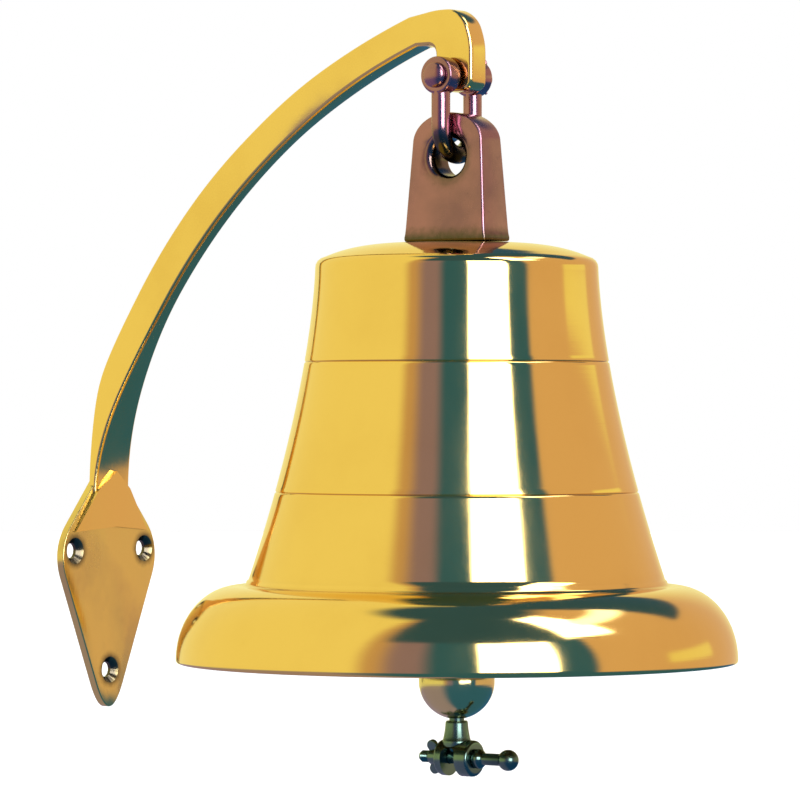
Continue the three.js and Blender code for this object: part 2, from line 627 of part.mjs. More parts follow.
const PIECES = [
  ['wall_plate', wallPlate, SATIN_BRASS],
  ['bracket_arm', bracketArm, POLISHED_BRASS],
  ['hanger_shackle', hangerShackle, DARK_BRASS],
  ['shackle_pin', shacklePin, DARK_BRASS],
  ['shackle_washer', shackleWasher, DARK_BRASS],
  ['shackle_split_pin', shackleSplitPin, DARK_BRASS],
  ['headstock', headstock, DARK_BRASS],
  ['bell_body', bellBody, POLISHED_BRASS],
  ['crown_washer', crownWasher, SATIN_BRASS],
  ['crown_nut', crownNut, SATIN_BRASS],
  ['clapper_yoke', clapperYoke, SATIN_BRASS],
  ['pivot_pin', pivotPin, SATIN_BRASS],
  ['pivot_split_pin', pivotSplitPin, SATIN_BRASS],
  ['clapper_rod', clapperRod, SATIN_BRASS],
  ['clapper_ball', clapperBall, POLISHED_BRASS],
  ['rope_fork', ropeFork, POLISHED_BRASS],
  ['lanyard_pin', lanyardPin, POLISHED_BRASS],
  ['wing_nut', wingNut, POLISHED_BRASS],
];
for (const [name, z] of Object.entries(RIVET_HEIGHTS)) PIECES.push([name, () => rivet(z), SATIN_BRASS]);

const shipBell = new THREE.Group();
for (const [name, build, material] of PIECES) {
  const mesh = new THREE.Mesh(build(), material);
  mesh.name = name;
  shipBell.add(mesh);
}

export default shipBell;
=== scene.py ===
"""Looks of the ship's bell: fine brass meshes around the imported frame, lit by a plain studio.

Shapes are drawn in millimetres in the frame's own axes (+X out of the wall, +Z up) and turned
into metres when a mesh is made.
"""

import json
import math

import bmesh
import bpy
from mathutils import Matrix, Vector


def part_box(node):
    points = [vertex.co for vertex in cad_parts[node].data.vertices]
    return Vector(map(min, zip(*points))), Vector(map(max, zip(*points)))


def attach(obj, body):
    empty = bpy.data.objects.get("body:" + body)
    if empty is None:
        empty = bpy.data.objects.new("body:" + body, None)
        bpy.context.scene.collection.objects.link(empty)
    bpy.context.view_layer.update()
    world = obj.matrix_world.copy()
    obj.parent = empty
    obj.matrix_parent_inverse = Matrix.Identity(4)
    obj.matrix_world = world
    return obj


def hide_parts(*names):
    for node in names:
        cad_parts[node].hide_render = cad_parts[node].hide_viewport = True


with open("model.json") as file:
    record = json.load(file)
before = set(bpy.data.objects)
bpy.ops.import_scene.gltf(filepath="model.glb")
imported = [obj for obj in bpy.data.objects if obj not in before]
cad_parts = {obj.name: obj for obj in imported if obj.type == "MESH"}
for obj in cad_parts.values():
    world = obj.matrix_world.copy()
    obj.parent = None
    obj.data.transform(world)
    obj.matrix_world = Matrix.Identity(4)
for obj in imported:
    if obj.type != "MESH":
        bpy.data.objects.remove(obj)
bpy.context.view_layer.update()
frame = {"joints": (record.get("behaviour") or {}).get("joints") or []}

MM = 0.001
scene = bpy.context.scene


# ---- Places and sizes read from the frame, in millimetres ----

def node_box(node):
    low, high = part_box(node)
    return low / MM, high / MM


def joint_place(name):
    joint = next(j for j in frame["joints"] if j["name"] == name)
    return Vector(joint["pos_m"]) / MM


BELL_LOW, BELL_HIGH = node_box("bell_body")
BELL_X = (BELL_LOW.x + BELL_HIGH.x) / 2
MOUTH_RADIUS = (BELL_HIGH.y - BELL_LOW.y) / 2
MOUTH_Z = BELL_LOW.z
CROWN_Z = BELL_HIGH.z
HANGER_Z = joint_place("hanger_swing").z
BOW_Z = joint_place("bell_swing").z
PIVOT_Z = joint_place("clapper_swing").z
FORK_PIN_Z = joint_place("rope_pin_turn").z
BALL_LOW, BALL_HIGH = node_box("clapper_ball")
BALL_Z = (BALL_LOW.z + BALL_HIGH.z) / 2
BALL_RADIUS = (BALL_HIGH.x - BALL_LOW.x) / 2
PLATE_LOW, PLATE_HIGH = node_box("wall_plate")
PLATE_FRONT = PLATE_HIGH.x
GAP = 0.3  # between pieces that fit into each other

AXES = {"X": Vector((1, 0, 0)), "Y": Vector((0, 1, 0)), "Z": Vector((0, 0, 1))}
NEARLY_STRAIGHT = math.radians(172)


# ---- Mesh helpers ----

def make_object(name, vertices, faces):
    mesh = bpy.data.meshes.new(name)
    mesh.from_pydata([Vector(v) * MM for v in vertices], [], faces)
    piece = bpy.data.objects.new(name, mesh)
    scene.collection.objects.link(piece)
    clean(piece)
    return piece


def clean(piece):
    """Merges doubled points and turns every face outwards."""
    bm = bmesh.new()
    bm.from_mesh(piece.data)
    bmesh.ops.remove_doubles(bm, verts=bm.verts, dist=1e-6)
    bmesh.ops.dissolve_degenerate(bm, edges=bm.edges, dist=1e-7)
    bmesh.ops.recalc_face_normals(bm, faces=bm.faces)
    bm.to_mesh(piece.data)
    bm.free()


def smooth_curve(points, steps=6):
    """Catmull-Rom curve through 2-D points."""
    def between(p, q, r, s, t):
        square = (2 * p - 5 * q + 4 * r - s) * t ** 2
        cube = (3 * q - p - 3 * r + s) * t ** 3
        return 0.5 * (2 * q + (r - p) * t + square + cube)

    ends = [points[0], *points, points[-1]]
    curve = []
    for four in zip(ends, ends[1:], ends[2:], ends[3:]):
        for i in range(steps):
            curve.append(tuple(between(*numbers, i / steps) for numbers in zip(*four)))
    return [*curve, tuple(points[-1])]


def corner_curve(start, corner, end, steps):
    """Points of the curve that leaves start towards the corner and reaches end from it."""
    shares = (k / steps for k in range(steps + 1))
    return [start * (1 - t) ** 2 + corner * 2 * t * (1 - t) + end * t ** 2 for t in shares]


def rounded(points, radius, steps=4, closed=False):
    """Rounds each corner of a 2-D line with a small curve; nearly straight corners stay as they are."""
    points = [Vector(p) for p in points]
    count = len(points)
    result = []
    for i, corner in enumerate(points):
        if not closed and i in (0, count - 1):
            result.append(tuple(corner))
            continue
        before = points[i - 1] - corner
        after = points[(i + 1) % count] - corner
        reach = min(radius, before.length / 2.2, after.length / 2.2)
        if reach < 1e-4 or before.angle(after) > NEARLY_STRAIGHT:
            result.append(tuple(corner))
            continue
        start = corner + before.normalized() * reach
        end = corner + after.normalized() * reach
        result += [tuple(point) for point in corner_curve(start, corner, end, steps)]
    return result


def lathe(name, profile, axis="Z", centre=(0, 0, 0), segments=96, closed=False):
    """Turns a (radius, height) profile round an axis. A closed profile makes a ring."""
    turn = AXES["Z"].rotation_difference(AXES[axis]).to_matrix()
    vertices = []
    for i in range(segments):
        angle = 2 * math.pi * i / segments
        for radius, height in profile:
            point = Vector((radius * math.cos(angle), radius * math.sin(angle), height))
            vertices.append(turn @ point + Vector(centre))
    count = len(profile)
    faces = []
    for i in range(segments):
        here = i * count
        there = ((i + 1) % segments) * count
        for k in range(count if closed else count - 1):
            n = (k + 1) % count
            faces.append((here + k, there + k, there + n, here + n))
    return make_object(name, vertices, faces)


def ring(name, outer, inner, low, high, axis="Z", centre=(0, 0, 0), segments=72, edge=0.4):
    profile = rounded([(inner, low), (outer, low), (outer, high), (inner, high)], edge, 3, closed=True)
    return lathe(name, profile, axis, centre, segments, closed=True)


def two_loops(name, vertices):
    """A solid from two equal loops of points, one after the other, capped at both ends."""
    count = len(vertices) // 2
    faces = [tuple(range(count)), tuple(range(2 * count - 1, count - 1, -1))]
    faces += [(i, (i + 1) % count, count + (i + 1) % count, count + i) for i in range(count)]
    return make_object(name, vertices, faces)


def prism_xz(name, outline, width, spread=None):
    """Extrudes an X-Z outline to both sides of Y = 0. spread(z) widens it with height."""
    spread = spread or (lambda z: 1)
    return two_loops(name, [(x, side * width / 2 * spread(z), z) for side in (-1, 1) for x, z in outline])


def block(name, size, centre):
    x, y, z = (s / 2 for s in size)
    outline = [(-x, -z), (x, -z), (x, z), (-x, z)]
    piece = prism_xz(name, outline, 2 * y)
    piece.data.transform(Matrix.Translation(Vector(centre) * MM))
    return piece


def tube(name, points, radius, sides=20):
    """A round bar along a line of 3-D points; radius is a number or a function of the share along it."""
    points = [Vector(p) for p in points]
    size = radius if callable(radius) else (lambda share: radius)
    direction = (points[1] - points[0]).normalized()
    normal = direction.orthogonal().normalized()
    vertices = []
    for i, point in enumerate(points):
        ahead = points[min(i + 1, len(points) - 1)]
        behind = points[max(i - 1, 0)]
        new_direction = (ahead - behind).normalized()
        normal.rotate(direction.rotation_difference(new_direction))
        direction = new_direction
        side = direction.cross(normal)
        for k in range(sides):
            angle = 2 * math.pi * k / sides
            out = normal * math.cos(angle) + side * math.sin(angle)
            vertices.append(point + out * size(i / (len(points) - 1)))
    faces = []
    for i in range(len(points) - 1):
        for k in range(sides):
            n = (k + 1) % sides
            faces.append((i * sides + k, i * sides + n, (i + 1) * sides + n, (i + 1) * sides + k))
    last = (len(points) - 1) * sides
    faces.append(tuple(range(sides)))
    faces.append(tuple(last + k for k in range(sides)))
    return make_object(name, vertices, faces)


def apply_modifiers(piece):
    bpy.context.view_layer.update()
    evaluated = piece.evaluated_get(bpy.context.evaluated_depsgraph_get())
    mesh = bpy.data.meshes.new_from_object(evaluated)
    piece.modifiers.clear()
    piece.data = mesh


def combine(piece, others, operation):
    """Joins other solids to a piece, or cuts them out of it, and removes them."""
    for other in others:
        modifier = piece.modifiers.new("boolean", "BOOLEAN")
        modifier.operation = operation
        modifier.solver = "EXACT"
        modifier.object = other
        apply_modifiers(piece)
        bpy.data.objects.remove(other)
    clean(piece)
    return piece


def soften(piece, width, segments=3, angle=40):
    """Rounds the sharp edges."""
    modifier = piece.modifiers.new("edges", "BEVEL")
    modifier.width = width * MM
    modifier.segments = segments
    modifier.limit_method = "ANGLE"
    modifier.angle_limit = math.radians(angle)
    modifier.use_clamp_overlap = True
    apply_modifiers(piece)
    return piece


def rod(radius, low, high, axis="Z", centre=(0, 0, 0), segments=64):
    """A plain cutter or core, used only inside other pieces."""
    return lathe("core", [(0, low), (radius, low), (radius, high), (0, high)], axis, centre, segments)


# ---- Wall bracket ----

PLATE_TOP = 53  # corners of the kite, before they are rounded
PLATE_SIDE = 46
PLATE_SIDE_Z = 1
PLATE_BOTTOM = -102
SCREW_SIDE_Y = 31
SCREW_LOW_Z = -67.5
SCREW_RADIUS = 4.25
SCREW_SINK_RADIUS = 7.3
SINK_EDGE = 0.1  # how deep the countersink's rim is broken
RIVETS = ("foot_rivet_upper", "foot_rivet_lower")
RIVET_HEAD_DEPTH = 2


def kite_outline(gap=0):
    """The plate's outline in Y and Z, its upper edges moved out by about the gap.

    Each corner is rounded by a curve that starts the given distance before it.
    """
    top = PLATE_TOP + 1.6 * gap
    side = PLATE_SIDE + 1.3 * gap
    corners = [
        ((0, top), 12), ((side, PLATE_SIDE_Z), 18), ((0, PLATE_BOTTOM), 30), ((-side, PLATE_SIDE_Z), 18),
    ]
    outline = []
    for i, (corner, reach) in enumerate(corners):
        corner = Vector(corner)
        before = Vector(corners[i - 1][0])
        after = Vector(corners[(i + 1) % 4][0])
        start = corner + (before - corner).normalized() * reach
        end = corner + (after - corner).normalized() * reach
        outline += corner_curve(start, corner, end, 16)
    return outline


def kite_slab(name, back, front, gap=0):
    return two_loops(name, [(x, point.x, point.y) for x in (back, front) for point in kite_outline(gap)])


def wall_plate():
    plate = kite_slab("plate_body", PLATE_LOW.x, PLATE_FRONT)
    soften(plate, 0.7, 3, 50)
    sink = SCREW_SINK_RADIUS - SCREW_RADIUS
    outside = PLATE_FRONT + 1
    profile = [
        (0, -1), (SCREW_RADIUS, -1), (SCREW_RADIUS, PLATE_FRONT - sink),
        (SCREW_SINK_RADIUS, PLATE_FRONT), (SCREW_SINK_RADIUS + 0.35, PLATE_FRONT + SINK_EDGE),
        (SCREW_SINK_RADIUS + 0.5, outside), (0, outside),
    ]
    places = [(0, SCREW_SIDE_Y, 0), (0, -SCREW_SIDE_Y, 0), (0, 0, SCREW_LOW_Z)]
    cutters = [lathe("cutter", profile, "X", place, 64) for place in places]
    for node in RIVETS:
        head, shank, place, *_ = rivet_sizes(node)
        profile = [
            (0, -1), (head + GAP + 1, -1), (shank + GAP, RIVET_HEAD_DEPTH),
            (shank + GAP, outside), (0, outside),
        ]
        cutters.append(lathe("cutter", profile, "X", place, 48))
    return combine(plate, cutters, "DIFFERENCE")


def rivet_sizes(node):
    """Head and shank radius, place on the wall, and the rivet's two ends in X."""
    low, high = node_box(node)
    head = (high.y - low.y) / 2
    return head, head - RIVET_HEAD_DEPTH, (0, 0, (low.z + high.z) / 2), low.x, high.x


def foot_rivet(node):
    head, shank, place, back, end = rivet_sizes(node)
    profile = rounded([(0, back), (head, back), (shank, RIVET_HEAD_DEPTH), (shank, end), (0, end)], 0.3, 3)
    return lathe(node + "_fine", profile, "X", place, 48)


ARM_HIGH = node_box("bracket_arm")[1]
ARM_WIDTH = 10.5  # along the wall, at the arm's slimmest
ARM_DEPTH = 20  # from its upper to its under side
ARM_NOSE_THINNER = 3
ARM_STEPS = 56
ARC_CENTRE = Vector((345.8, -62.9))  # of the arc that the underside follows, in X and Z
ARC_RADIUS = 358.9
ARC_START, ARC_END = 153.5, 110.5
FOOT_Z = 30
FOOT_WIDTH = 31
FOOT_FRONT = 6.8  # the foot's front and back faces, in X
ARM_BACK = 0.5
ARM_BACK_BLEND = 7  # how softly the back leaves the wall
FOOT_BLEND_Z = 145  # where the foot's extra width has gone
FOOT_BEND_STEPS = 16
LUG_WIDTH = 15
LUG_BACK = BELL_X - 9
LUG_BOTTOM = HANGER_Z - 8
LUG_NOTCH_Z = 273.5  # where the arm's underside meets the lug
HANGER_BORE = 5


def arm_line(steps):
    """The arm's underside in X and Z: for each point its place, direction and share of the length."""
    def arc(angle):
        turn = math.radians(angle)
        return ARC_CENTRE + ARC_RADIUS * Vector((math.cos(turn), math.sin(turn)))

    join = arc(ARC_START)
    slope = Vector((math.sin(math.radians(ARC_START)), -math.cos(math.radians(ARC_START))))
    foot = Vector((FOOT_FRONT, FOOT_Z))
    handles = [foot, foot + Vector((0, 24)), join - 25 * slope, join]
    line = []
    for i in range(FOOT_BEND_STEPS):
        t = i / FOOT_BEND_STEPS
        shares = ((1 - t) ** 3, 3 * t * (1 - t) ** 2, 3 * t ** 2 * (1 - t), t ** 3)
        line.append(sum((s * h for s, h in zip(shares, handles)), Vector((0, 0))))
    line += [arc(ARC_START + (ARC_END - ARC_START) * i / steps) for i in range(steps + 1)]
    lengths = [0]
    for a, b in zip(line, line[1:]):
        lengths.append(lengths[-1] + (b - a).length)
    result = []
    for i, point in enumerate(line):
        tangent = (line[min(i + 1, len(line) - 1)] - line[max(i - 1, 0)]).normalized()
        result.append((point, tangent, lengths[i] / lengths[-1]))
    return result


def smoothstep(value, low, high):
    t = min(1, max(0, (value - low) / (high - low)))
    return t * t * (3 - 2 * t)


def arm_depth(share):
    """Full depth over the first half of the length, a little less at the nose."""
    return ARM_DEPTH - ARM_NOSE_THINNER * smoothstep(share, 0.5, 1)


def in_front_of_wall(point):
    """The arm's upper side can't go behind the foot's back face; it leaves it in a soft bend."""
    ahead = point.x - ARM_BACK
    return Vector((ARM_BACK + (ahead + math.hypot(ahead, ARM_BACK_BLEND)) / 2, point.y))


def arm_width(x, z):
    """Width along the wall: a broad foot, a slim arm, and a wider lug."""
    if x > BELL_X - 10:
        return LUG_WIDTH
    foot = (FOOT_WIDTH - ARM_WIDTH) * (1 - smoothstep(z, FOOT_Z, FOOT_BLEND_Z))
    return ARM_WIDTH + foot + (LUG_WIDTH - ARM_WIDTH) * smoothstep(z, 225, 262)


def foot_wing(side):
    """Half of the fishtail at the arm's foot: a facet that falls from the ridge to one wing."""
    back = PLATE_FRONT + GAP
    outline = [(0, 44, 5), (0, 13, 5), (32, 10.5, 1), (14, 34, 3.25)]
    bm = bmesh.new()
    for y, z, height in outline:
        bm.verts.new(Vector((back, side * y, z)) * MM)
        bm.verts.new(Vector((back + height, side * y, z)) * MM)
    bmesh.ops.convex_hull(bm, input=bm.verts)
    mesh = bpy.data.meshes.new("wing")
    bm.to_mesh(mesh)
    bm.free()
    wing = bpy.data.objects.new("wing", mesh)
    scene.collection.objects.link(wing)
    clean(wing)
    return wing


def bracket_arm():
    line = arm_line(ARM_STEPS)
    lower = [point for point, tangent, share in line]
    upper = [point + Vector((-tangent.y, tangent.x)) * arm_depth(share) for point, tangent, share in line]
    upper = [in_front_of_wall(point) for point in upper]
    front, top = ARM_HIGH.x, ARM_HIGH.z
    nose = rounded([
        tuple(upper[-1]), (LUG_BACK, top), (front - 12, top), (front - 4, top - 6), (front, top - 18),
        (front, LUG_BOTTOM), (LUG_BACK, LUG_BOTTOM), (LUG_BACK, LUG_NOTCH_Z), tuple(lower[-1]),
    ], 6.5, 6)
    count = len(line)
    ends = len(nose)
    vertices, faces = [], []
    for side in (-1, 1):
        start = len(vertices)
        for x, z in [*upper, *lower, *nose[1:-1]]:
            vertices.append((x, side * arm_width(x, z) / 2, z))
        for i in range(count - 1):
            faces.append((start + i, start + i + 1, start + count + i + 1, start + count + i))
        nose_loop = [count - 1, *range(2 * count, 2 * count + ends - 2), 2 * count - 1]
        faces.append(tuple(start + i for i in nose_loop))
    half = len(vertices) // 2
    rim = [*range(count), *range(2 * count, 2 * count + ends - 2), *range(2 * count - 1, count - 1, -1)]
    for a, b in zip(rim, [*rim[1:], rim[0]]):
        faces.append((a, b, half + b, half + a))
    arm = make_object("arm_body", vertices, faces)
    soften(arm, 2.2, 5, 55)
    combine(arm, [foot_wing(1), foot_wing(-1)], "UNION")
    # The plate's upper corner sits in a pocket in the foot's back.
    pocket = kite_slab("pocket", -10, PLATE_FRONT + GAP, GAP)
    cutters = [rod(HANGER_BORE, -20, 20, "Y", (BELL_X, 0, HANGER_Z)), pocket]
    for node in RIVETS:
        _, shank, place, _, end = rivet_sizes(node)
        cutters.append(rod(shank + GAP, PLATE_FRONT, end + GAP, "X", place, 48))
    return combine(arm, cutters, "DIFFERENCE")


# ---- Hanger ----

LEG_Y = 15
BAR_RADIUS = 5
EAR_HALF = 5
PIN_RADIUS = 4.7
SHACKLE_HIGH = node_box("hanger_shackle")[1]
EAR_RADIUS = SHACKLE_HIGH.z - HANGER_Z
EAR_OUTER = SHACKLE_HIGH.y
PIN_HEAD_EDGE = 1.2  # height of the pin head's straight side, under its dome
PIN_DOME = 3.4
SPLIT_HOLE = 2.1


def hanger_shackle():
    bow_centre = BOW_Z + LEG_Y
    points = [(BELL_X, -LEG_Y, HANGER_Z - 5 - 4 * i) for i in range(4)]
    for i in range(33):
        angle = math.pi * (1 + i / 32)
        points.append((BELL_X, LEG_Y * math.cos(angle), bow_centre + LEG_Y * math.sin(angle)))
    points += [(x, -y, z) for x, y, z in points[3::-1]]
    shackle = tube("shackle_body", points, BAR_RADIUS, 28)
    profile = rounded([
        (0, -EAR_HALF), (EAR_RADIUS, -EAR_HALF), (EAR_RADIUS, EAR_HALF), (0, EAR_HALF),
    ], 1.6, 5)
    ears = [lathe("ear", profile, "Y", (BELL_X, side * LEG_Y, HANGER_Z), 64) for side in (-1, 1)]
    combine(shackle, ears, "UNION")
    return combine(shackle, [rod(PIN_RADIUS + GAP, -30, 30, "Y", (BELL_X, 0, HANGER_Z))], "DIFFERENCE")


def shackle_pin():
    low, high = node_box("shackle_pin")
    head = (high.x - low.x) / 2
    start = -EAR_OUTER - GAP
    dome = [(0, low.y)]
    for i in range(1, 11):
        angle = math.pi / 2 * i / 10
        dome.append((head * math.sin(angle), start - PIN_HEAD_EDGE - PIN_DOME * math.cos(angle)))
    profile = [*dome, *rounded([
        (head, start - PIN_HEAD_EDGE), (head, start), (PIN_RADIUS, start), (PIN_RADIUS, high.y), (0, high.y),
    ], 0.6, 4)[1:]]
    pin = lathe("shackle_pin_body", profile, "Y", (BELL_X, 0, HANGER_Z), 64)
    return combine(pin, [rod(SPLIT_HOLE, -10, 10, "Z", (BELL_X, high.y - 3, HANGER_Z), 32)], "DIFFERENCE")


def shackle_washer():
    low, high = node_box("shackle_washer")
    outer = (high.x - low.x) / 2
    return ring("shackle_washer_body", outer, PIN_RADIUS + GAP, low.y, high.y, "Y", (BELL_X, 0, HANGER_Z))


def split_pin(name, pin_radius, place, turn):
    """An eye above the pin's side, and two legs that pass through it and splay below."""
    leg_x, spread, eye_radius = 1, 1.6, 2.2
    eye_z = pin_radius + eye_radius + 1.4
    leg = [(leg_x, pin_radius), (leg_x, -pin_radius), (leg_x + spread, -pin_radius - 3.2)]
    eye = []
    for i in range(7):
        angle = math.radians(-60 + 50 * i)
        eye.append((eye_radius * math.cos(angle), eye_z + eye_radius * math.sin(angle)))
    line = smooth_curve([*leg[::-1], *eye, *((-x, z) for x, z in leg)], 5)
    pin = tube(name, [(x, 0, z) for x, z in line], 0.8, 12)
    pin.data.transform(Matrix.Translation(Vector(place) * MM) @ Matrix.Rotation(math.radians(turn), 4, "Z"))
    return pin


def shackle_split_pin():
    low, high = node_box("shackle_split_pin")
    return split_pin("shackle_split_pin_fine", PIN_RADIUS, (BELL_X, (low.y + high.y) / 2, HANGER_Z), 0)


# ---- Bell ----

SHOULDER_Z = 157.7
SHOULDER_RADIUS = 75.5
RIM_TOP_Z = -14.5
RIM_TOP_RADIUS = 117
WAIST_FOOT_RADIUS = 112.1
WALL = 7
CROWN_THICKNESS = 8
STUD_RADIUS = 7
GROOVES = (104.3, 34.9)
GROOVE_SHAPE = {0.9: 0, 0.55: 0.12, 0.25: 0.5, 0: 0.62}  # depth by distance from the groove's middle
CROWN_DROP = 7.4
CROWN_FLAT_RADIUS = 69.4


def crown_z(radius):
    return CROWN_Z - CROWN_DROP * (radius / CROWN_FLAT_RADIUS) ** 4


def waist_radius(z):
    share = max(0, (SHOULDER_Z - z) / (SHOULDER_Z - RIM_TOP_Z))
    return SHOULDER_RADIUS + (WAIST_FOOT_RADIUS - SHOULDER_RADIUS) * share ** 1.57


def waist_outside():
    """The waist from shoulder to foot, with a fine turned groove at each line."""
    start = SHOULDER_Z - 3
    heights = {start - (start - RIM_TOP_Z - 3) * i / 60: 0 for i in range(61)}
    for groove in GROOVES:
        for offset, depth in GROOVE_SHAPE.items():
            heights[groove + offset] = depth
            heights[groove - offset] = depth
    rows = []
    for z in sorted(heights, reverse=True):
        near = min(abs(z - groove) for groove in GROOVES)
        if heights[z] == 0 and near < 0.85:
            continue
        rows.append((waist_radius(z) - heights[z], z))
    return rows


def bell_body():
    bore = STUD_RADIUS + 0.6
    outside = [(bore, crown_z(bore))]
    outside += [(r, crown_z(r)) for r in (10 + 60 * i / 24 for i in range(25))]
    shoulder = [(72.6, 159.6), (74.3, 158.2), (75.3, 156.4)]
    rim_height = RIM_TOP_Z - MOUTH_Z - 2
    rim = []
    for i in range(41):
        angle = math.pi / 2 * (1 - i / 40)
        rim.append((
            RIM_TOP_RADIUS + (MOUTH_RADIUS - RIM_TOP_RADIUS) * math.cos(angle),
            MOUTH_Z + 1.5 + rim_height * math.sin(angle),
        ))
    foot = [
        (112.2, RIM_TOP_Z + 2), (112.6, RIM_TOP_Z + 0.8), (113.6, RIM_TOP_Z - 0.1), (115, RIM_TOP_Z - 0.4),
    ]
    lip = [(149.8, MOUTH_Z + 0.8), (149.3, MOUTH_Z + 0.25), (148.5, MOUTH_Z), (139, MOUTH_Z)]
    ceiling = CROWN_Z - CROWN_THICKNESS
    inside = smooth_curve([
        (138, MOUTH_Z + 0.2), (135.5, MOUTH_Z + 2), (130.5, -50), (122.5, -39), (115.5, -24), (107.5, -8),
        *((waist_radius(z) - WALL, z) for z in (4, 32, 61, 89, 118, 140)),
        (66.8, 148), (62, 153.2), (50, 157), (31, ceiling), (bore + 0.4, ceiling),
    ], 6)
    profile = [
        *outside, *shoulder, *waist_outside(), *foot, *rim[1:], *lip, *inside, (bore, ceiling + 0.4),
    ]
    return lathe("bell_casting", profile, "Z", (BELL_X, 0, 0), 256, closed=True)


HEAD_LOW, HEAD_HIGH = node_box("headstock")
HEAD_FOOT_Z = CROWN_Z + GAP
EYE_Z = 213.5
EYE_RADIUS = 10.2


def headstock():
    half, neck, top_half, arch_z = 26.2, 25.3, 22.3, 221.5
    side = [
        (half, HEAD_FOOT_Z), (half, HEAD_FOOT_Z + 2.4), (half - 0.4, HEAD_FOOT_Z + 4),
        (neck + 0.25, HEAD_FOOT_Z + 6), (neck, HEAD_FOOT_Z + 9), (top_half, arch_z),
    ]
    arch = []
    for i in range(1, 32):
        angle = math.pi * i / 32
        arch.append((top_half * math.cos(angle), arch_z + (HEAD_HIGH.z - arch_z) * math.sin(angle)))
    outline = [*side, *arch, *((-x, z) for x, z in side[::-1])]
    foot_width, top_width = 25, 18
    reach = HEAD_HIGH.z - HEAD_FOOT_Z
    head = prism_xz(
        "headstock_body", outline, foot_width,
        lambda z: 1 - (1 - top_width / foot_width) * (z - HEAD_FOOT_Z) / reach,
    )
    soften(head, 1.5, 4, 50)
    # The eye opens out to both faces like a trumpet.
    lip, face, depth = 4.3, 9.6, 15
    flare = []
    for i in range(13):
        angle = math.pi / 2 * i / 12
        flare.append((EYE_RADIUS + lip - lip * math.cos(angle), face - lip + lip * math.sin(angle)))
    flare += [(EYE_RADIUS + 2 * lip, depth - 3), (EYE_RADIUS + 2 * lip, depth), (0, depth)]
    eye = [*((radius, -y) for radius, y in flare[::-1]), *flare]
    combine(head, [lathe("cutter", eye, "Y", (0, 0, EYE_Z), 96)], "DIFFERENCE")
    combine(head, [rod(STUD_RADIUS, HEAD_LOW.z, HEAD_FOOT_Z + 4)], "UNION")
    head.data.transform(Matrix.Translation((BELL_X * MM, 0, 0)))
    return head


def crown_washer():
    low, high = node_box("crown_washer")
    outer = (high.y - low.y) / 2
    return ring("crown_washer_body", outer, STUD_RADIUS + GAP, low.z, high.z, "Z", (BELL_X, 0, 0))


def crown_nut():
    low, high = node_box("crown_nut")
    corner = (high.y - low.y) / 2
    hexagon = [(0, low.z), (corner, low.z), (corner, high.z), (0, high.z)]
    nut = lathe("crown_nut_body", hexagon, "Z", segments=6)
    turned = rounded([
        (0, low.z - 1), (corner - 2, low.z - 0.1), (corner + 0.6, low.z + 1.6), (corner + 0.6, high.z - 1.6),
        (corner - 2, high.z + 0.1), (0, high.z + 1),
    ], 0.2, 2)
    combine(nut, [lathe("core", turned, segments=72)], "INTERSECT")
    combine(nut, [rod(STUD_RADIUS + GAP, low.z - 2, high.z + 2)], "DIFFERENCE")
    nut.data.transform(Matrix.Rotation(math.radians(90), 4, "Z"))
    nut.data.transform(Matrix.Translation((BELL_X * MM, 0, 0)))
    return nut


YOKE_GAP = 11
PIVOT_PIN_RADIUS = 4
PIVOT_BORE = 4.3


def clapper_yoke():
    low, high = node_box("clapper_yoke")
    width, depth = high.x - low.x, high.y - low.y
    yoke = block("clapper_yoke_body", (width, depth, high.z - PIVOT_Z), (0, 0, (high.z + PIVOT_Z) / 2))
    combine(yoke, [rod(depth / 2, -width / 2, width / 2, "X", (0, 0, PIVOT_Z), 72)], "UNION")
    gap_top = high.z - 10
    gap = block("gap", (YOKE_GAP, 60, gap_top - low.z + 6), (0, 0, (gap_top + low.z - 6) / 2))
    combine(yoke, [gap], "DIFFERENCE")
    soften(yoke, 0.9, 3, 50)
    cutters = [rod(STUD_RADIUS + GAP, PIVOT_Z, high.z + 2), rod(PIVOT_BORE, -20, 20, "X", (0, 0, PIVOT_Z))]
    combine(yoke, cutters, "DIFFERENCE")
    yoke.data.transform(Matrix.Translation((BELL_X * MM, 0, 0)))
    return yoke


def pivot_pin():
    low, high = node_box("pivot_pin")
    head = (high.z - low.z) / 2
    start, end = low.x - BELL_X, high.x - BELL_X
    profile = rounded([
        (0, start), (head - 0.5, start), (head, start + 0.7), (head, start + 3),
        (PIVOT_PIN_RADIUS, start + 3), (PIVOT_PIN_RADIUS, end), (0, end),
    ], 0.6, 4)
    pin = lathe("pivot_pin_body", profile, "X", (BELL_X, 0, PIVOT_Z), 64)
    hole = rod(SPLIT_HOLE, -10, 10, "Z", (BELL_X + end - 3.2, 0, PIVOT_Z), 32)
    return combine(pin, [hole], "DIFFERENCE")


def pivot_split_pin():
    low, high = node_box("pivot_split_pin")
    return split_pin("pivot_split_pin_fine", PIVOT_PIN_RADIUS, ((low.x + high.x) / 2, 0, PIVOT_Z), 90)


# ---- Clapper ----

CLAPPER_STUD = 4


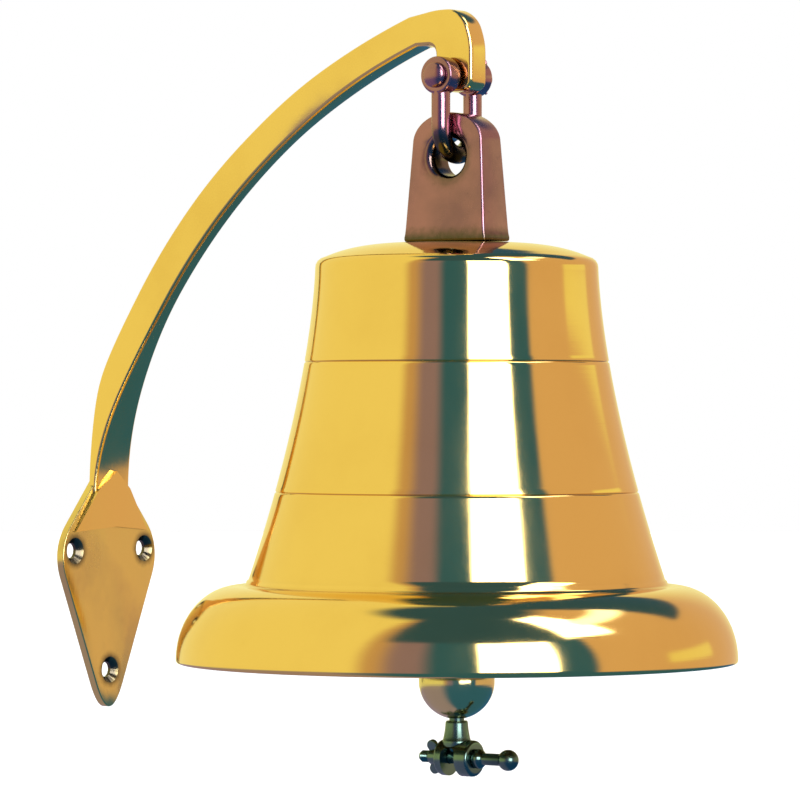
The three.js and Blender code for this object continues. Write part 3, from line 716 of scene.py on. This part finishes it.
def clapper_rod():
    eye_radius, eye_half = 9, 4.7
    foot = BALL_Z + BALL_RADIUS + 0.9
    profile = [
        (0, BALL_Z + 2), (CLAPPER_STUD, BALL_Z + 2), (CLAPPER_STUD, foot), (5.6, foot), (6.3, foot + 0.9),
        *smooth_curve([
            (6.3, foot + 2.2), (5.7, foot + 9), (5.5, foot + 16), (5, 40), (4.6, PIVOT_Z - eye_radius),
        ], 6),
        (4.6, PIVOT_Z - 6), (0, PIVOT_Z - 6),
    ]
    rod_body = lathe("clapper_rod_body", profile, "Z", (BELL_X, 0, 0), 64)
    eye = rounded([(0, -eye_half), (eye_radius, -eye_half), (eye_radius, eye_half), (0, eye_half)], 0.9, 4)
    combine(rod_body, [lathe("eye", eye, "X", (BELL_X, 0, PIVOT_Z), 64)], "UNION")
    return combine(rod_body, [rod(PIVOT_BORE, -20, 20, "X", (BELL_X, 0, PIVOT_Z))], "DIFFERENCE")


def clapper_ball():
    bore = CLAPPER_STUD + GAP
    first = math.asin((bore + 0.4) / BALL_RADIUS)
    steps = 64
    outside = []
    for i in range(steps + 1):
        angle = first + (math.pi - 2 * first) * i / steps
        outside.append((BALL_RADIUS * math.sin(angle), BALL_Z + BALL_RADIUS * math.cos(angle)))
    end = BALL_RADIUS * math.cos(first) - 0.4
    profile = [(bore, BALL_Z + end), *outside, (bore, BALL_Z - end)]
    return lathe("clapper_ball_body", profile, "Z", (BELL_X, 0, 0), 96, closed=True)


FORK_LOW, FORK_HIGH = node_box("rope_fork")
FORK_BACK = BELL_X - FORK_LOW.x
FORK_FRONT = FORK_HIGH.x - BELL_X
FORK_EAR = (FORK_HIGH.y - FORK_LOW.y) / 2
FORK_PIN_RADIUS = 3.2
FORK_GAP = 9
FORK_GAP_TOP_Z = FORK_PIN_Z + 1.5  # centre of the gap's round end
COLLAR_RADIUS = 5.2


def rope_fork():
    top = BALL_Z - BALL_RADIUS - 0.9
    profile = [
        (0, FORK_PIN_Z), (7, FORK_PIN_Z), (7.7, FORK_PIN_Z + 8.2),
        *smooth_curve([
            (7.7, FORK_PIN_Z + 9), (7.1, FORK_PIN_Z + 11), (6.4, FORK_PIN_Z + 15), (6, top - 0.8),
        ], 5),
        (5.6, top), (CLAPPER_STUD, top), (CLAPPER_STUD, FORK_HIGH.z), (0, FORK_HIGH.z),
    ]
    fork = lathe("rope_fork_body", profile, "Z", (0, 0, 0), 64)
    ear = rounded([(0, -FORK_BACK), (FORK_EAR, -FORK_BACK), (FORK_EAR, FORK_FRONT), (0, FORK_FRONT)], 2, 5)
    combine(fork, [lathe("ears", ear, "X", (0, 0, FORK_PIN_Z), 72)], "UNION")
    gap_round = rod(FORK_GAP / 2, -30, 30, "Y", (0, 0, FORK_GAP_TOP_Z), 48)
    gap = block("gap", (FORK_GAP, 60, 30), (0, 0, FORK_GAP_TOP_Z - 15))
    combine(fork, [gap, gap_round], "DIFFERENCE")
    combine(fork, [rod(FORK_PIN_RADIUS + GAP, -20, 20, "X", (0, 0, FORK_PIN_Z))], "DIFFERENCE")
    fork.data.transform(Matrix.Translation((BELL_X * MM, 0, 0)))
    return fork


def lanyard_pin():
    low, high = node_box("lanyard_pin")
    head = (high.z - low.z) / 2
    start, end = low.x - BELL_X, high.x - BELL_X
    face = FORK_FRONT + GAP
    centre = end - head
    body = rounded([
        (0, start), (FORK_PIN_RADIUS, start), (FORK_PIN_RADIUS, face),
        (COLLAR_RADIUS, face), (COLLAR_RADIUS, face + 3),
        (FORK_PIN_RADIUS, face + 5.2), (FORK_PIN_RADIUS, centre - head * 0.7),
    ], 0.7, 4)
    # Rings stand in for the thread on the wing nut's end.
    thread = []
    pitch = 1
    chamfer = 0.8
    turns = int((-FORK_BACK - chamfer - start) / pitch)
    for i in range(turns):
        z = start + chamfer + i * pitch
        thread += [(FORK_PIN_RADIUS - 0.45, z), (FORK_PIN_RADIUS, z + pitch / 2)]
    body = [body[0], (FORK_PIN_RADIUS - 0.9, start), *thread, *[p for p in body[3:] if p[1] > -FORK_BACK]]
    first = math.pi - math.asin(FORK_PIN_RADIUS / head)
    ball = []
    for i in range(1, 33):
        angle = first * (1 - i / 32)
        ball.append((head * math.sin(angle), centre + head * math.cos(angle)))
    ball[-1] = (0, end)
    return lathe("lanyard_pin_body", [*body, *ball], "X", (BELL_X, 0, FORK_PIN_Z), 64)


def wing_nut():
    face = -FORK_BACK - GAP
    length = 7.2
    hub_profile = rounded([
        (0, face - length), (3.9, face - length), (4.9, face - 2.5), (4.9, face), (0, face),
    ], 0.6, 4)
    nut = lathe("wing_nut_body", hub_profile, "X", (0, 0, 0), 64)
    wings = []
    for side in (-1, 1):
        centre = face - length + 2
        outline = [
            (face - 1.4, side * 1.5), (face - 1.9, side * 4.8), (centre + 2.9, side * 7.2),
            (centre + 1.6, side * 8.9), (centre - 0.6, side * 9.3), (centre - 2.2, side * 8.2),
            (centre - 2.9, side * 6.2), (centre - 1.9, side * 4), (centre - 0.6, side * 1.5),
        ]
        outline = smooth_curve([*outline, outline[0]], 5)[:-1]
        wing = prism_xz("wing", outline, 2.8)
        wings.append(soften(wing, 1.0, 4, 60))
    combine(nut, wings, "UNION")
    combine(nut, [rod(FORK_PIN_RADIUS + GAP, -30, 0, "X")], "DIFFERENCE")
    place = Matrix.Translation((BELL_X * MM, 0, FORK_PIN_Z * MM))
    nut.data.transform(place @ Matrix.Rotation(math.radians(12), 4, "X"))
    return nut


# ---- Materials ----

class Graph:
    """Short names for adding and linking shader nodes."""

    def __init__(self, tree):
        self.tree = tree
        tree.nodes.clear()

    def add(self, kind, inputs=(), **settings):
        node = self.tree.nodes.new(kind)
        for key, value in settings.items():
            setattr(node, key, value)
        for key, value in dict(inputs).items():
            if isinstance(value, bpy.types.NodeSocket):
                self.tree.links.new(value, node.inputs[key])
            else:
                node.inputs[key].default_value = value
        return node

    def math(self, operation, *values):
        return self.add("ShaderNodeMath", dict(enumerate(values)), operation=operation).outputs[0]

    def span(self, value, low, high, to_low=0.0, to_high=1.0):
        inputs = {"Value": value, "From Min": low, "From Max": high, "To Min": to_low, "To Max": to_high}
        return self.add("ShaderNodeMapRange", inputs, interpolation_type="SMOOTHSTEP").outputs["Result"]

    def mix(self, share, a, b):
        node = self.add("ShaderNodeMix", data_type="RGBA")
        for socket, value in ((node.inputs[0], share), (node.inputs[6], a), (node.inputs[7], b)):
            if isinstance(value, bpy.types.NodeSocket):
                self.tree.links.new(value, socket)
            else:
                socket.default_value = value
        return node.outputs[2]

    def noise(self, vector, scale, detail=4.0, roughness=0.5):
        inputs = {"Vector": vector, "Scale": scale, "Detail": detail, "Roughness": roughness}
        return self.add("ShaderNodeTexNoise", inputs).outputs["Fac"]

    def vector(self, operation, a, b=(0, 0, 0), output=0):
        return self.add("ShaderNodeVectorMath", {0: a, 1: b}, operation=operation).outputs[output]

    def stretch(self, vector, scale):
        return self.add("ShaderNodeMapping", {"Vector": vector, "Scale": scale}).outputs["Vector"]


def rgba(colour):
    return (*colour, 1.0)


# Colour of painted shade: a near-black brown laid into holes and joints where shade falls.
PAINTED_SHADE_COLOUR = (0.10, 0.085, 0.06)


def brass(name, light, dark, roughness, grain=(1, 1, 1), grain_depth=0.01, ripple=0.02, stain=0.35, painted_shade=()):
    """Polished or toned brass: uneven colour, smears in the polish, wear on edges, turned or rubbed grain.

    The last argument lists places darkened as painted shade, in holes and joints where shade falls: centre,
    which axes count, radii where it is full and gone.
    """
    material = bpy.data.materials.new(name)
    material.use_nodes = True
    g = Graph(material.node_tree)
    place = g.add("ShaderNodeTexCoord").outputs["Object"]
    pointy = g.add("ShaderNodeNewGeometry").outputs["Pointiness"]
    clouds = g.span(g.noise(place, 14.0, 5.0, 0.6), 0.42, 0.72)
    specks = g.span(g.noise(place, 260.0, 3.0, 0.6), 0.62, 0.78)
    crevice = g.span(pointy, 0.5, 0.44)
    edge = g.span(pointy, 0.53, 0.6)
    tarnish = g.math("MULTIPLY", clouds, stain)
    tarnish = g.math("ADD", tarnish, g.math("MULTIPLY", specks, stain * 0.4))
    tarnish = g.math("ADD", tarnish, g.math("MULTIPLY", crevice, 0.7))
    tarnish = g.math("SUBTRACT", tarnish, g.math("MULTIPLY", edge, 0.5))
    tarnish = g.add("ShaderNodeClamp", {"Value": tarnish}).outputs[0]
    colour = g.mix(tarnish, rgba(light), rgba(dark))
    # Painted shade: each listed place is blended towards the near-black brown, fading out with distance.
    for centre, axes, full, gone in painted_shade:
        away = g.vector("MULTIPLY", g.vector("SUBTRACT", place, Vector(centre) * MM), axes)
        distance = g.vector("LENGTH", away, output="Value")
        patchy = g.math("ADD", distance, g.math("MULTIPLY", g.noise(place, 300.0, 2.0), (gone - full) * MM))
        share = g.span(patchy, gone * MM * 1.5, full * MM)
        colour = g.mix(share, colour, rgba(PAINTED_SHADE_COLOUR))
    smears = g.noise(g.stretch(place, (3.0, 3.0, 1.0)), 9.0, 6.0, 0.65)
    gloss = g.span(smears, 0.35, 0.75, roughness * 0.75, roughness * 1.45)
    gloss = g.math("ADD", gloss, g.math("MULTIPLY", tarnish, roughness * 0.8))
    lines = g.noise(g.stretch(place, grain), 1.0, 3.0, 0.55)
    waves = g.noise(place, 16.0, 2.0, 0.5)
    bump = g.add("ShaderNodeBump", {"Height": lines, "Strength": grain_depth, "Distance": 0.001})
    bump = g.add("ShaderNodeBump", {
        "Height": waves, "Strength": ripple, "Distance": 0.01, "Normal": bump.outputs[0],
    })
    shader = g.add("ShaderNodeBsdfPrincipled", {
        "Base Color": colour, "Metallic": 1.0, "Roughness": gloss, "Normal": bump.outputs[0],
    })
    g.add("ShaderNodeOutputMaterial", {"Surface": shader.outputs[0]})
    return material


BELL_BRASS = brass(
    "bell_brass", (0.88, 0.62, 0.21), (0.74, 0.47, 0.13), 0.085, (4, 4, 1400), 0.02, 0.012, 0.2,
)
ARM_BRASS = brass(
    "arm_brass", (0.88, 0.62, 0.21), (0.72, 0.45, 0.12), 0.14, (180, 700, 180), 0.03, 0.05, 0.3,
)
# Painted shade: the screw holes' countersinks are darkened, as shade falls in these recesses.
HOLES = [(PLATE_FRONT, y, z) for y, z in ((SCREW_SIDE_Y, 0), (-SCREW_SIDE_Y, 0), (0, SCREW_LOW_Z))]
PLATE_BRASS = brass(
    "plate_brass", (0.82, 0.63, 0.22), (0.58, 0.38, 0.19), 0.18, (500, 500, 60), 0.06, 0.06, 0.5,
    [(hole, (1, 1, 1), 6.5, 8.5) for hole in HOLES],
)
# Painted shade: the headstock's eye is darkened all round, and a band at its foot where it meets the crown.
HANGER_BRONZE = brass(
    "hanger_bronze", (0.39, 0.19, 0.235), (0.17, 0.105, 0.13), 0.2, (160, 160, 160), 0.08, 0.12, 0.6,
    [((BELL_X, 0, EYE_Z), (1, 0, 1), 10, 14), ((BELL_X, 0, HEAD_FOOT_Z), (0, 0, 1), 3, 8)],
)
FITTING_BRASS = brass(
    "fitting_brass", (0.78, 0.54, 0.2), (0.45, 0.28, 0.1), 0.2, (40, 40, 1200), 0.05, 0.02, 0.5,
)
BALL_BRASS = brass(
    "ball_brass", (0.78, 0.64, 0.27), (0.56, 0.45, 0.2), 0.14, (60, 60, 900), 0.03, 0.03, 0.4,
)
# Painted shade and painted reflection: the fork, lanyard pin and wing nut get a dark teal for the shade and
# dark reflections under the bell's mouth.
FORK_PAINTED_SHADE = brass(
    "fork_painted_shade", (0.15, 0.24, 0.2), (0.07, 0.12, 0.11), 0.2, (60, 60, 900), 0.04, 0.05, 0.5,
)


# ---- Pieces on their bodies ----

PIECES = [
    (wall_plate, "bracket", "wall_plate", "plate_brass", PLATE_BRASS),
    (bracket_arm, "bracket", "bracket_arm", "polished_brass", ARM_BRASS),
    (lambda: foot_rivet("foot_rivet_upper"), "bracket", "foot_rivet_upper", "fitting_brass", FITTING_BRASS),
    (lambda: foot_rivet("foot_rivet_lower"), "bracket", "foot_rivet_lower", "fitting_brass", FITTING_BRASS),
    (hanger_shackle, "hanger", "hanger_shackle", "dark_brass", HANGER_BRONZE),
    (shackle_pin, "hanger", "shackle_pin", "dark_brass", HANGER_BRONZE),
    (shackle_washer, "hanger", "shackle_washer", "dark_brass", HANGER_BRONZE),
    (shackle_split_pin, "hanger", "shackle_split_pin", "dark_brass", HANGER_BRONZE),
    (headstock, "bell", "headstock", "dark_brass", HANGER_BRONZE),
    (bell_body, "bell", "bell_body", "polished_brass", BELL_BRASS),
    (crown_washer, "bell", "crown_washer", "fitting_brass", FITTING_BRASS),
    (crown_nut, "bell", "crown_nut", "fitting_brass", FITTING_BRASS),
    (clapper_yoke, "bell", "clapper_yoke", "fitting_brass", FITTING_BRASS),
    (pivot_pin, "bell", "pivot_pin", "fitting_brass", FITTING_BRASS),
    (pivot_split_pin, "bell", "pivot_split_pin", "fitting_brass", FITTING_BRASS),
    (clapper_rod, "clapper", "clapper_rod", "fitting_brass", FITTING_BRASS),
    (clapper_ball, "clapper", "clapper_ball", "polished_brass", BALL_BRASS),
    (rope_fork, "clapper", "rope_fork", "polished_brass", FORK_PAINTED_SHADE),
    (lanyard_pin, "rope_pin", "lanyard_pin", "polished_brass", FORK_PAINTED_SHADE),
    (wing_nut, "rope_nut", "wing_nut", "polished_brass", FORK_PAINTED_SHADE),
]
SHARP_ANGLE = math.radians(32)
for build, body, node, slot, material in PIECES:
    piece = build()
    piece.data.materials.clear()
    piece.data.materials.append(material)
    piece.data.shade_smooth()
    piece.data.set_sharp_from_angle(angle=SHARP_ANGLE)
    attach(piece, body)
    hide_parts(node)


# ---- Studio ----

VIEW_AZIMUTH = math.radians(35)
TOWARDS_CAMERA = Vector((math.sin(VIEW_AZIMUTH), -math.cos(VIEW_AZIMUTH), 0))
RIGHT = Vector((math.cos(VIEW_AZIMUTH), math.sin(VIEW_AZIMUTH), 0))
CAMERA_DISTANCE = 2.563  # metres, as all of the studio
CAMERA_HEIGHT = 0.084
CAMERA_ASIDE = 0.0303
FLOOR_Z = -0.32
FLOOR_HALF = 11
SHELL_RADIUS = 12


def camera():
    data = bpy.data.cameras.new("camera")
    data.lens = 216
    data.sensor_width = 36
    data.clip_end = 100
    cam = bpy.data.objects.new("camera", data)
    scene.collection.objects.link(cam)
    axis = Vector((BELL_X * MM, 0, CAMERA_HEIGHT))
    cam.location = axis + TOWARDS_CAMERA * CAMERA_DISTANCE - RIGHT * CAMERA_ASIDE
    cam.rotation_mode = "QUATERNION"
    cam.rotation_quaternion = (-TOWARDS_CAMERA).to_track_quat("-Z", "Y")
    scene.camera = cam


def emitter(name, colour, strength):
    material = bpy.data.materials.new(name)
    material.use_nodes = True
    g = Graph(material.node_tree)
    glow = g.add("ShaderNodeEmission", {"Color": rgba(colour), "Strength": strength})
    g.add("ShaderNodeOutputMaterial", {"Surface": glow.outputs[0]})
    return material


def backdrop():
    """A white shell that only the camera sees, and a pale floor."""
    bm = bmesh.new()
    bmesh.ops.create_icosphere(bm, subdivisions=4, radius=SHELL_RADIUS)
    mesh = bpy.data.meshes.new("backdrop")
    bm.to_mesh(mesh)
    bm.free()
    shell = bpy.data.objects.new("backdrop", mesh)
    scene.collection.objects.link(shell)
    mesh.materials.append(emitter("backdrop_white", (1, 1, 1), 1.0))
    for ray in ("diffuse", "glossy", "transmission", "volume_scatter", "shadow"):
        setattr(shell, "visible_" + ray, False)

    mesh = bpy.data.meshes.new("floor")
    corners = ((-1, -1), (1, -1), (1, 1), (-1, 1))
    mesh.from_pydata([(x * FLOOR_HALF, y * FLOOR_HALF, FLOOR_Z) for x, y in corners], [], [(0, 1, 2, 3)])
    floor = bpy.data.objects.new("floor", mesh)
    scene.collection.objects.link(floor)
    material = bpy.data.materials.new("floor_white")
    material.use_nodes = True
    g = Graph(material.node_tree)
    shader = g.add("ShaderNodeBsdfPrincipled", {"Base Color": rgba((0.86, 0.86, 0.86)), "Roughness": 0.9})
    g.add("ShaderNodeOutputMaterial", {"Surface": shader.outputs[0]})
    mesh.materials.append(material)
    floor.visible_glossy = False


# Colours of the light, by direction
WARM = (0.97, 0.91, 0.42)
AMBER = (0.62, 0.43, 0.27)
PINK = (0.30, 0.235, 0.46)
TEAL = (0.035, 0.15, 0.36)
ORANGE = (0.77, 0.54, 0.36)
CEILING = (0.035, 0.11, 0.25)
DIM_FLOOR = (0.36, 0.31, 0.5)
SOFTBOX = (9, 9, 9)
UPPER_BOX = (7, 7, 7)
UPPER_STRIP = (3, 3, 3)


def studio():
    """The light all round the object, by direction, in degrees from the camera's side and above the horizon.

    There is a warm bright side, a dark end with a softbox, and an orange side.
    """
    world = bpy.data.worlds.new("studio")
    scene.world = world
    world.use_nodes = True
    g = Graph(world.node_tree)
    direction = g.add("ShaderNodeTexCoord").outputs["Generated"]

    def part(axis):
        return g.vector("DOT_PRODUCT", direction, axis, "Value")

    degrees = 180 / math.pi
    azimuth = g.math("MULTIPLY", g.math("ARCTAN2", part(RIGHT), part(TOWARDS_CAMERA)), degrees)
    height = g.math("MULTIPLY", g.math("ARCSINE", part(AXES["Z"])), degrees)

    def patch(centre, half_width, centre_height, half_height, blur):
        across = g.math("ABSOLUTE", g.math("SUBTRACT", azimuth, centre))
        up = g.math("ABSOLUTE", g.math("SUBTRACT", height, centre_height))
        return g.math(
            "MULTIPLY",
            g.span(across, half_width + blur, half_width - blur),
            g.span(up, half_height + blur, half_height - blur),
        )

    light = g.mix(g.span(azimuth, -46, -36), rgba(WARM), rgba(AMBER))
    light = g.mix(g.span(azimuth, -36, -25), light, rgba(PINK))
    light = g.mix(g.span(azimuth, -18, -9), light, rgba(TEAL))
    light = g.mix(g.span(azimuth, 56, 61), light, rgba(ORANGE))
    light = g.mix(g.span(azimuth, 150, 179), light, rgba(WARM))
    below = g.mix(g.span(azimuth, -60, -25), rgba(DIM_FLOOR), rgba(TEAL))
    light = g.mix(g.span(height, -7, -11), light, below)
    ceiling = g.math("MULTIPLY", g.span(azimuth, -38, -28), g.span(azimuth, 84, 72))
    light = g.mix(g.math("MULTIPLY", ceiling, g.span(height, 35, 40)), light, rgba(CEILING))
    far_corner = g.math("MULTIPLY", g.span(azimuth, 120, 128), g.span(height, 30, 33))
    light = g.mix(far_corner, light, rgba(CEILING))
    light = g.mix(g.span(height, 68, 76), light, rgba(CEILING))
    light = g.mix(patch(112, 16, 7, 4, 2), light, rgba(WARM))
    light = g.mix(patch(24.8, 16.2, 17, 19, 0.8), light, rgba(SOFTBOX))
    light = g.mix(patch(66, 14, 55, 16, 1.5), light, rgba(UPPER_BOX))
    light = g.mix(patch(100, 26, 55, 4, 2), light, rgba(UPPER_STRIP))
    background = g.add("ShaderNodeBackground", {"Color": light, "Strength": 1.0})
    g.add("ShaderNodeOutputWorld", {"Surface": background.outputs[0]})
    world.cycles_visibility.diffuse = False


def floor_light():
    """A soft neutral lamp overhead that keeps the floor white; the brass doesn't reflect it."""
    data = bpy.data.lights.new("overhead", "SUN")
    data.energy = 4.8
    data.angle = math.radians(40)
    lamp = bpy.data.objects.new("overhead", data)
    lamp.visible_glossy = False
    scene.collection.objects.link(lamp)


camera()
backdrop()
studio()
floor_light()
scene.view_settings.view_transform = "Standard"
